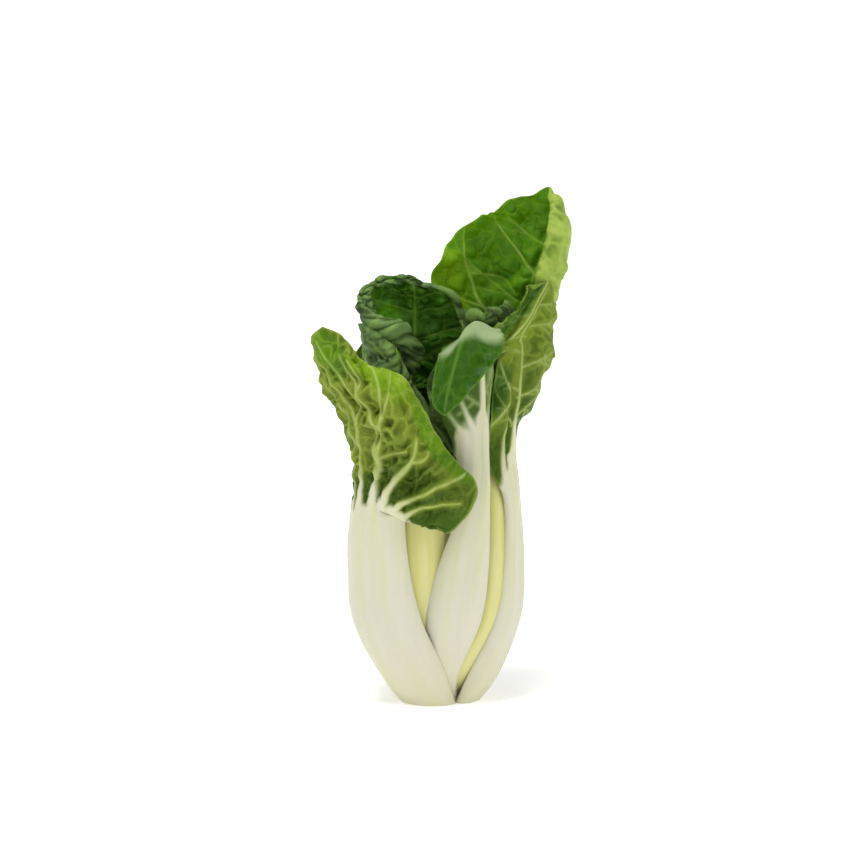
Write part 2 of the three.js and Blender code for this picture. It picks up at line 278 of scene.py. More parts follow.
def veinField(leaf, routes, k, s, flat):
    # for each point: how much of a vein lies there and how tall it stands, the way in mm to the
    # nearest vein, and how much of a stout one lies there
    last = len(leaf["midrib"]) - 1
    amount = np.zeros(flat.shape[:2])
    height = np.zeros(flat.shape[:2])
    stout = np.zeros(flat.shape[:2])
    clear = np.full(flat.shape[:2], 9.0)  # mm, far enough to be clear of them all
    finest = 0.75 * mesh["spacing"]
    reach = 7  # mm to either side that a vein is worked out for
    for route, widths in routes:
        pieces = 8 * (len(route) - 1)
        steps = np.linspace(0, len(route) - 1, pieces + 1)
        line = railAt(route, steps)
        stations = np.arange(len(widths)) * (len(route) - 1) / (len(widths) - 1)
        halves = np.interp(steps, stations, widths) / 2
        rows = np.interp(np.clip(line[:, 0], 0, last - 0.05), k, np.arange(len(k)))
        columns = np.interp(line[:, 1], s, np.arange(len(s)))
        row = np.minimum(rows.astype(int), len(k) - 2)
        column = np.minimum(columns.astype(int), len(s) - 2)
        up, over = (rows - row)[:, None], (columns - column)[:, None]
        spots = ((flat[row, column] * (1 - up) + flat[row + 1, column] * up) * (1 - over)
                 + (flat[row, column + 1] * (1 - up) + flat[row + 1, column + 1] * up) * over)
        for i in range(pieces):
            a, b = spots[i], spots[i + 1]
            low, high = np.minimum(a, b) - reach, np.maximum(a, b) + reach
            close = ((flat > low) & (flat < high)).all(-1)
            place = flat[close]
            span = max(float((b - a) @ (b - a)), 1e-9)
            t = np.clip(((place - a) @ (b - a)) / span, 0, 1)
            away = np.linalg.norm(place - a - t[:, None] * (b - a), axis=1)
            half = halves[i] + (halves[i + 1] - halves[i]) * t
            drawn = np.maximum(half, finest)
            under = np.minimum(1, (half / drawn) ** 0.6) * (1 - ease(away / drawn, 0.35, 1.2))
            amount[close] = np.maximum(amount[close], under)
            stout[close] = np.maximum(stout[close], under * ease(half, 0.6, 1.6))
            height[close] = np.maximum(height[close], half * (1 - ease(away / drawn, 0, 1.6)))
            clear[close] = np.minimum(clear[close], away - half * 0.5)
    return amount, height, clear, stout


def patchAmount(patches, k, s):
    # soft round areas of a leaf, each (k, s, reach along k, reach along s)
    total = np.zeros((len(k), len(s)))
    for atK, atS, reachK, reachS in patches:
        away = np.hypot((k[:, None] - atK) / reachK, (s[None] - atS) / reachS)
        total = np.maximum(total, 1 - ease(away, 0.6, 1.1))
    return total


# what the surface of every leaf shares, in mm where nothing else is said
relief = {
    "lineWander": 1.5,  # of the line where stalk gives way to blade
    "lineBlur": 2.5,  # either side of that line
    "room": (2, 12),  # half width at which a leaf starts to move, and moves freely
    "cellWander": 1.3,  # of the outlines of the blisters
    "smallCell": 0.42,  # share of a blister's size
    "smallPuff": 0.12,  # share of a blister's height
    "turnedPlain": 0.75,  # share of the blisters that a turned-over part loses
    "rolledPlain": 0.8,  # share that a rolled margin loses
    "edgeBand": 6,  # along the margin, where the blisters die away
    "furrowWander": 2.2,
    "ribs": 0.10,  # height of the fine ribs along a stalk
    "thinning": (-22, 12),  # above the line, from the full stalk to the full blade
}


def waves(leaf, x, y, side):
    # slow sway of the whole blade, and the quicker ruffle and frill of its margins
    seed = leaf["seed"]
    ruffle = leaf["ruffle"] * side ** 2.2 * np.sin(
        2 * math.pi * (y + 0.35 * np.abs(x)) / leaf["ruffleLength"] + np.sign(x) * 1.7
        + 1.2 * swell(x, y, 30, seed + 2))
    frill = leaf["frill"] * side ** 6 * np.sin(
        2 * math.pi * y / leaf["frillLength"] + np.sign(x) + 1.5 * swell(x, y, 16, seed + 12))
    sway = leaf["sway"] * swell(x, y, 42, seed + 3) * (0.35 + 0.65 * side)
    return sway + ruffle + frill


def blisterBorders(leaf, x, y):
    # mm to the border of the blister that each point is on, for the large ones and the small ones
    seed = leaf["seed"]
    warpX = x + relief["cellWander"] * swell(x, y, 8, seed + 4)
    warpY = y + relief["cellWander"] * swell(x, y, 8, seed + 5)
    large = cells(warpX, warpY, leaf["cell"], seed + 6)
    small = cells(warpX + 50, warpY, leaf["cell"] * relief["smallCell"], seed + 7)
    return large, small


def sheetThickness(leaf, side, edge, above):
    # a crescent stalk that thins out into the blade
    roundEdge = np.sqrt(np.clip(1 - side ** 12, 0.02, 1))
    stalk = leaf["stalk"] * (0.3 + 0.7 * (1 - side ** 2.4)) * roundEdge
    blade = leaf["thickness"] * (0.35 + 0.65 * ease(edge, 0, 1.2))
    return stalk + (blade - stalk) * ease(above, *relief["thinning"])


def growLeaf(leaf):
    k, s, points, rolled = middleSurface(leaf)
    flat, away, up = flattened(k, s, points)
    x, y = flat[..., 0], flat[..., 1]
    seed = leaf["seed"]
    side = np.abs(s)[None] + 0 * x
    # mm to the nearest margin or to the tip
    toMargin = np.where(s[None] < 0, away[:, :1], away[:, -1:]) - away
    edge = np.minimum(toMargin, (up[-1] - up)[:, None] + 0.3)
    bladeStart = leaf["bladeFrom"] - leaf["wingDrop"] * side ** 1.5
    if "bladeLine" in leaf:
        bladeStart = keyed(leaf["bladeLine"], s)[None] + 0 * x
    # mm above the line where the stalk gives way to blade
    spanLength = np.gradient(up) / np.maximum(np.gradient(k), 1e-6)
    above = (k[:, None] - bladeStart) * spanLength[:, None]
    veins, veinHeight, clear, stout = veinField(leaf, veinRoutes(leaf), k, s, flat)
    wander = relief["lineWander"] * swell(x, y, 7, seed + 1)
    blade = ease(above + wander, -relief["lineBlur"], relief["lineBlur"])
    tissue = blade * (1 - stout * (1 - ease(above, 10, 34)))
    crease = veinField(leaf, leaf.get("creases", ()), k, s, flat)[1]

    # the blade moves less where it is narrow, and the stalk not at all
    room = ease(np.minimum(away[:, :1], away[:, -1:]), *relief["room"])
    soft = ease(k[:, None], leaf["bladeFrom"] - 0.6, leaf["bladeFrom"] + 1.2)
    points = points + gridNormals(points) * (waves(leaf, x, y, side) * soft * room)[..., None]

    # blisters between the veins, domed towards the inner face, and the furrows of rolled margins
    border, small = blisterBorders(leaf, x, y)
    dome = 1 - (1 - ease(border, 0, leaf["cell"] * 0.34)) ** 2
    smallDome = ease(small, 0, leaf["cell"] * 0.15)
    free = ease(clear, 0, leaf["cell"] * leaf["veinClear"])
    calm = 0.4 + 0.6 * ease(swell(x, y, 26, seed + 8), -0.5, 0.6)
    crumple = leaf["crumple"] * swell(x, y, leaf["cell"] * 1.6, seed + 10) * ease(above, 4, 26)
    turned = patchAmount(leaf.get("showsInner", ()), k, s)
    plain = 1 - relief["turnedPlain"] * turned
    puff = (dome * calm + relief["smallPuff"] * smallDome) * free + crumple
    puff = leaf["blister"] * puff * blade * plain
    puff = puff * (1 - relief["rolledPlain"] * rolled) * room
    puff = puff * (0.35 + 0.65 * ease(edge, 0, relief["edgeBand"]))
    slanted = y + 0.4 * x + relief["furrowWander"] * swell(x, y, 14, seed + 11)
    segment = np.abs(np.sin(math.pi * slanted / leaf["segment"])) ** 0.7
    puff = puff - leaf["segmentRise"] * segment * rolled * blade * room
    # painted shade: the furrows between the folds of a rolled margin get a darker colour
    furrowShade = (1 - ease(segment, 0.15, 0.8)) * rolled * blade
    # painted shade: the green between the roots of the main veins is darkened as if it lay in shade
    forkShade = ease(above, -2, 4) * (1 - ease(above, 14, 38)) * ease(clear, -0.5, 2)
    net = (1 - ease(border, 0.1, 0.55)) * free * blade * (1 - forkShade)
    fineNet = (1 - ease(small, 0.05, 0.32)) * blade
    points = points - gridNormals(points) * (puff + crease)[..., None]

    # an outer and an inner face, with the veins and the ribs of the stalk standing out of them
    normals = gridNormals(points)
    thick = sheetThickness(leaf, side, edge, above)
    ridge = veinHeight * (0.12 + 0.88 * ease(above, -9, 9)) * leaf["veinRelief"]
    ribs = relief["ribs"] * swell(x * 3.2, y * 0.08, 9, seed + 9) * (1 - blade) * (1 - side ** 6)
    outer = points + normals * (thick / 2 + ridge + ribs)[..., None]
    inner = points - normals * (thick / 2 - 0.15 * ridge)[..., None]

    # what the skins read at every point, on the outer and on the inner face
    # painted shade: the pits of the blisters, the forks between the vein roots and the furrows of rolled
    # margins are coloured darker
    paintedPitShade = np.maximum(np.maximum(dome * free * calm, forkShade), furrowShade)
    fields = {
        "bladeAmount": (tissue, tissue),
        "veinAmount": (veins, veins * 0.8),
        "netAmount": (net, net * 0.8),
        "fineNet": (fineNet, fineNet * 0.6),
        "edgeAmount": (1 - ease(edge, 0.2, 1.1),) * 2,
        "pitShadeAmount": (paintedPitShade, np.maximum(dome * free, forkShade)),
        "innerFace": (turned, np.ones_like(x)),
        # painted highlight on top-facing patches of the inner face
        "paintedHighlightAmount": (0 * x, patchAmount(leaf.get("paintedHighlightPatches", ()), k, s)),
        # painted light: light shining through the blade on patches of the outer face, and lit patches of
        # the inner face
        "paintedLightAmount": (patchAmount(leaf.get("paintedLightThrough", ()), k, s),
                       patchAmount(leaf.get("paintedLightInside", ()), k, s)),
        "heightShare": (outer[..., 2] / drawnHeight, inner[..., 2] / drawnHeight),
        "grainX": (x, x + 500),  # the two faces have patterns of their own
        "grainY": (y, y),
        "forkShadeAmount": (forkShade, forkShade),
    }
    return closeSheet(leaf["name"], outer, inner, fields)


def quads(a, b, c, d):
    return np.stack([a, b, c, d], -1).reshape(-1, 4)


def closeSheet(name, outer, inner, fields):
    # one closed body from the two faces, with a wall all round, trimmed flush at the cut end
    rows, columns = outer.shape[:2]
    number = np.arange(rows * columns).reshape(rows, columns)
    below = number + rows * columns
    faces = [quads(number[:-1, :-1], number[:-1, 1:], number[1:, 1:], number[1:, :-1]),
             quads(below[:-1, :-1], below[1:, :-1], below[1:, 1:], below[:-1, 1:])]
    for a, b in ((number[0], below[0]), (number[-1][::-1], below[-1][::-1]),
                 (number[::-1, 0], below[::-1, 0]), (number[:, -1], below[:, -1])):
        faces.append(quads(a[:-1], b[:-1], b[1:], a[1:]))
    faces = np.concatenate(faces)
    spots = np.concatenate([outer.reshape(-1, 3), inner.reshape(-1, 3)]) * unit
    body = bpy.data.meshes.new(name)
    body.vertices.add(len(spots))
    body.vertices.foreach_set("co", spots.astype(np.float32).ravel())
    body.loops.add(faces.size)
    body.loops.foreach_set("vertex_index", faces.astype(np.int32).ravel())
    body.polygons.add(len(faces))
    body.polygons.foreach_set("loop_start", np.arange(0, faces.size, 4, dtype=np.int32))
    body.polygons.foreach_set("loop_total", np.full(len(faces), 4, dtype=np.int32))
    body.update(calc_edges=True)
    for label, (outside, inside) in fields.items():
        layer = body.attributes.new(label, "FLOAT", "POINT")
        values = np.concatenate([outside.ravel(), inside.ravel()])
        layer.data.foreach_set("value", values.astype(np.float32))
    # the two faces side by side in one map
    across, along = np.meshgrid(np.linspace(0.005, 0.495, columns), np.linspace(0.005, 0.995, rows))
    places = np.concatenate([np.stack([across, along], -1).reshape(-1, 2),
                             np.stack([across + 0.5, along], -1).reshape(-1, 2)])
    layer = body.uv_layers.new(name="OFBake")
    layer.data.foreach_set("uv", places[faces.ravel()].astype(np.float32).ravel())
    if spots[:, 2].min() < 0:
        trimBelow(body)
    return placed(body)


def placed(body):
    body.shade_smooth()
    piece = bpy.data.objects.new(body.name, body)
    bpy.context.collection.objects.link(piece)
    return piece


def trimBelow(body):
    work = bmesh.new()
    work.from_mesh(body)
    everything = work.verts[:] + work.edges[:] + work.faces[:]
    cut = bmesh.ops.bisect_plane(work, geom=everything, plane_co=(0, 0, 0), plane_no=(0, 0, 1),
                                 clear_inner=True)
    rim = [part for part in cut["geom_cut"] if isinstance(part, bmesh.types.BMEdge)]
    bmesh.ops.triangle_fill(work, use_beauty=True, edges=rim, normal=(0, 0, -1))
    bmesh.ops.recalc_face_normals(work, faces=work.faces[:])
    work.to_mesh(body)
    work.free()


class Wire:
    # shader maths: a node's output that adds Math nodes when it is used in an expression
    def __init__(self, tree, socket=None):
        self.tree = tree
        self.socket = socket

    def node(self, kind, settings, sockets, out=0):
        made = self.tree.nodes.new(kind)
        for name, value in settings.items():
            setattr(made, name, value)
        for name, value in sockets.items():
            if isinstance(value, Wire):
                self.tree.links.new(value.socket, made.inputs[name])
            else:
                made.inputs[name].default_value = value
        return Wire(self.tree, made.outputs[out] if made.outputs else None)

    def calc(self, operation, *values):
        return self.node("ShaderNodeMath", {"operation": operation}, dict(enumerate(values)))

    def __add__(self, other):
        return self.calc("ADD", self, other)

    def __radd__(self, other):
        return self.calc("ADD", other, self)

    def __sub__(self, other):
        return self.calc("SUBTRACT", self, other)

    def __rsub__(self, other):
        return self.calc("SUBTRACT", other, self)

    def __mul__(self, other):
        return self.calc("MULTIPLY", self, other)

    def __rmul__(self, other):
        return self.calc("MULTIPLY", other, self)

    def between(self, low, high):
        sockets = {"Value": self, "From Min": low, "From Max": high}
        return self.node("ShaderNodeMapRange", {"interpolation_type": "SMOOTHSTEP"}, sockets)

    def mixed(self, first, second):
        # colours: first where this is 0, second where it is 1
        return self.node("ShaderNodeMix", {"data_type": "RGBA"}, {0: self, 6: first, 7: second}, out=2)


def tint(text):
    # sRGB hex to the linear colour a socket wants
    parts = [int(text[i:i + 2], 16) / 255 for i in (1, 3, 5)]
    return tuple(p / 12.92 if p <= 0.04045 else ((p + 0.055) / 1.055) ** 2.4 for p in parts) + (1.0,)


def newSkin(name):
    skin = bpy.data.materials.new(name)
    skin.use_nodes = True
    skin.node_tree.nodes.clear()
    return skin, Wire(skin.node_tree)


def leafSkin(name, look):
    skin, start = newSkin(name)
    shade = {key: tint(value) for key, value in look.items() if isinstance(value, str)}

    def field(label):
        return start.node("ShaderNodeAttribute", {"attribute_name": label}, {}, out="Fac")

    blade, vein, net, fine = map(field, ("bladeAmount", "veinAmount", "netAmount", "fineNet"))
    edge, puff, inside, paintedLight = map(field, ("edgeAmount", "pitShadeAmount", "innerFace", "paintedLightAmount"))
    height, grainX, grainY = map(field, ("heightShare", "grainX", "grainY"))
    forkShade, paintedHighlight = map(field, ("forkShadeAmount", "paintedHighlightAmount"))
    place = start.node("ShaderNodeCombineXYZ", {}, {"X": grainX, "Y": grainY})
    stretched = start.node("ShaderNodeCombineXYZ", {}, {"X": grainX * 0.2, "Y": grainY * 0.012})

    def cloud(vector, scale, detail=3.0):
        sockets = {"Vector": vector, "Scale": scale, "Detail": detail, "Roughness": 0.55}
        return start.node("ShaderNodeTexNoise", {}, sockets, out="Fac")

    # blade: two faces, each drifting between two greens, with painted shade darker in the pits of the
    # blisters, the vein forks and the furrows, paler outside them, and a painted highlight and painted
    # light on some patches
    broad = cloud(place, 0.05).between(0.35, 0.65)
    mottle = cloud(place, 0.35, 4.0).between(0.35, 0.65)
    outerGreen = broad.mixed(shade["outer"], shade["outerDeep"])
    innerGreen = broad.mixed(shade["inner"], shade["innerDeep"])
    green = inside.mixed(outerGreen, innerGreen)
    green = (mottle * 0.35).mixed(green, inside.mixed(shade["outerPale"], shade["innerPale"]))
    # the outer face is paler outside the pits, and painted shade makes it darker in them
    green = ((1 - puff) * (1 - inside) * 0.45).mixed(green, shade["outerPale"])
    pitShade = inside.mixed(shade["outerPitShade"], shade["innerDeep"])
    green = (puff * look["pitShadeShow"]).mixed(green, pitShade)
    # painted shade: darker green between the roots of the main veins
    green = (forkShade * 0.8).mixed(green, shade["forkShadeGreen"])
    # painted highlight: a pale grey-green where the top of a leaf catches the overhead light
    green = (paintedHighlight * 0.8).mixed(green, shade["paintedHighlight"])
    # painted light: a bright yellow-green where light shines through the blade
    green = (paintedLight * 0.7).mixed(green, shade["paintedLight"])
    lines = net * (0.75 - 0.25 * inside) + fine * (0.28 - 0.12 * inside)
    green = (lines * look["netShow"]).mixed(green, shade["net"])
    green = (edge * 0.55).mixed(green, shade["net"])

    # stalk: white, with faint green lines along it and a yellow-green root end
    streak = cloud(stretched, 1.0, 2.0).between(0.4, 0.66)
    upper = height.between(0.1, 0.5)
    greenness = streak * (0.25 + 0.4 * upper) + upper * 0.3
    white = greenness.mixed(shade["white"], shade["whiteGreen"])
    lowEnd = 1 - height.between(0.0, look["rootReach"])
    white = (lowEnd * look["rootShow"]).mixed(white, shade["root"])
    veinColour = blade.mixed(white, shade["vein"])
    tissue = blade.mixed(white, green)
    colour = (vein * look["veinShow"] * (1 - 0.45 * blade * mottle)).mixed(tissue, veinColour)

    # fine grain, gloss and a little light through the blade
    dust = cloud(place, 2.2)
    rough = 0.36 + dust * 0.14 + blade * (0.06 - 0.12 * inside) - vein * 0.05
    bumps = fine * 0.35 + net * 0.3 + dust * 0.25 * blade + streak * 0.15
    normal = start.node("ShaderNodeBump", {}, {"Height": bumps, "Strength": 0.5, "Distance": 0.0006})
    body = start.node("ShaderNodeBsdfPrincipled", {}, {
        "Base Color": colour, "Roughness": rough, "Normal": normal, "IOR": 1.42,
        "Specular IOR Level": look["gloss"], "Subsurface Weight": 0.12,
        "Subsurface Radius": (0.9, 1.0, 0.45), "Subsurface Scale": 0.0022})
    glow = start.node("ShaderNodeBsdfTranslucent", {}, {"Color": shade["through"], "Normal": normal})
    thinness = blade * (1 - vein * 0.7) * look["thinness"]
    both = start.node("ShaderNodeMixShader", {}, {0: thinness, 1: body, 2: glow})
    start.node("ShaderNodeOutputMaterial", {}, {"Surface": both})
    return skin


def crownSkin(name, look):
    skin, start = newSkin(name)
    place = start.node("ShaderNodeTexCoord", {}, {}, out="Object")
    grain = {"Vector": place, "Scale": 260.0, "Detail": 4.0}
    mottle = start.node("ShaderNodeTexNoise", {}, grain, out="Fac")
    spots = start.node("ShaderNodeTexVoronoi", {}, {"Vector": place, "Scale": 520.0}, out="Distance")
    colour = mottle.between(0.3, 0.7).mixed(tint(look["flesh"]), tint(look["fleshDeep"]))
    colour = ((1 - spots.between(0.1, 0.35)) * 0.5).mixed(colour, tint(look["bundle"]))
    bumps = {"Height": mottle + spots * 0.5, "Strength": 0.5, "Distance": 0.0005}
    normal = start.node("ShaderNodeBump", {}, bumps)
    body = start.node("ShaderNodeBsdfPrincipled", {}, {
        "Base Color": colour, "Roughness": 0.45 + mottle * 0.15, "Normal": normal,
        "Subsurface Weight": 0.15, "Subsurface Radius": (0.9, 1.0, 0.45), "Subsurface Scale": 0.003})
    start.node("ShaderNodeOutputMaterial", {}, {"Surface": body})
    return skin


# colours and amounts that the leaf skins share, then each skin's own
commonLook = {
    "white": "#cdcaba", "whiteGreen": "#c6c996", "root": "#d0cc94", "rootReach": 0.16, "rootShow": 0.35,
    "net": "#98ab4c", "netShow": 0.45, "vein": "#aab86c", "veinShow": 0.75, "paintedLight": "#7ea80a",
    "paintedHighlight": "#a8bb88", "gloss": 0.16, "forkShadeGreen": "#34500a", "thinness": 0.15, "through": "#7fae10",
    "pitShadeShow": 0.45,
}
looks = {
    "outerLeafSkin": dict(
        commonLook, outer="#6b7f16", outerDeep="#4b610a", outerPale="#92a23a", outerPitShade="#2c4204",
        inner="#5c850c", innerDeep="#3f6604", innerPale="#7c9c20", pitShadeShow=0.55),
    "smoothLeafSkin": dict(
        commonLook, outer="#687e16", outerDeep="#4c660a", outerPale="#879832", outerPitShade="#3c5808",
        inner="#40680e", innerDeep="#2a4e06", innerPale="#56781c", net="#88a044", vein="#a8b870",
        netShow=0.25, pitShadeShow=0.35),
    "freshLeafSkin": dict(
        commonLook, outer="#94b248", outerDeep="#74962c", outerPale="#b2c262", outerPitShade="#466808",
        inner="#568e06", innerDeep="#3e7000", innerPale="#7aa614", net="#80a828", vein="#b0c858",
        netShow=0.4),
    "waxyLeafSkin": dict(
        commonLook, outer="#7f9850", outerDeep="#5f7a30", outerPale="#98aa74", outerPitShade="#4a6a20",
        inner="#325c06", innerDeep="#204c00", innerPale="#4b741a", net="#587c2a", vein="#6c8c44",
        netShow=0.25, veinShow=0.55),
    "darkLeafSkin": dict(
        commonLook, outer="#58783a", outerDeep="#3c5a20", outerPale="#82a05e", outerPitShade="#14280a",
        inner="#4a7a16", innerDeep="#2e5a08", innerPale="#66923a", net="#506e30", vein="#86a83c",
        paintedLight="#5c9c08", thinness=0.08, netShow=0.2, pitShadeShow=0.85, whiteGreen="#c3c268", white="#d2cf92"),
}
skins = {name: leafSkin(name, look) for name, look in looks.items()}
print("skins ready:", ", ".join(skins))

# what every leaf shares unless its own entry below says otherwise, lengths in mm
leafShape = {
    "stalk": 7.0,  # thickness of the stalk along the midrib
    "thickness": 0.6,  # of the blade
    "wingDrop": 0.5,  # spans that the blade reaches further down at the margins
    "sway": 1.6,  # slow waves of the whole blade
    "ruffle": 1.6,  # waves of the margins
    "ruffleLength": 24.0,
    "frill": 0.5,  # the quick small waves at the very edge
    "frillLength": 9.0,
    "segment": 4.5,  # from furrow to furrow of a rolled margin
    "segmentRise": 1.2,  # of the folds between the furrows
    "cell": 5.2,  # size of the blisters
    "blister": 0.7,  # height of the blisters
    "crumple": 0.35,  # uneven rise and fall, against the blisters
    "veinClear": 0.4,  # share of a blister's size that veins keep clear
    "veinWidth": 2.6,
    "veinRelief": 0.55,  # height of a vein against its half width
    "veinRise": 1.0,  # spans that a side vein climbs
    "sideVeins": 6,  # on either side
}

# the inner leaves are thinner and all have the dark skin
innerShape = dict(leafShape, slot="inner_leaf", skin="darkLeafSkin", stalk=4.5, veinWidth=1.8)

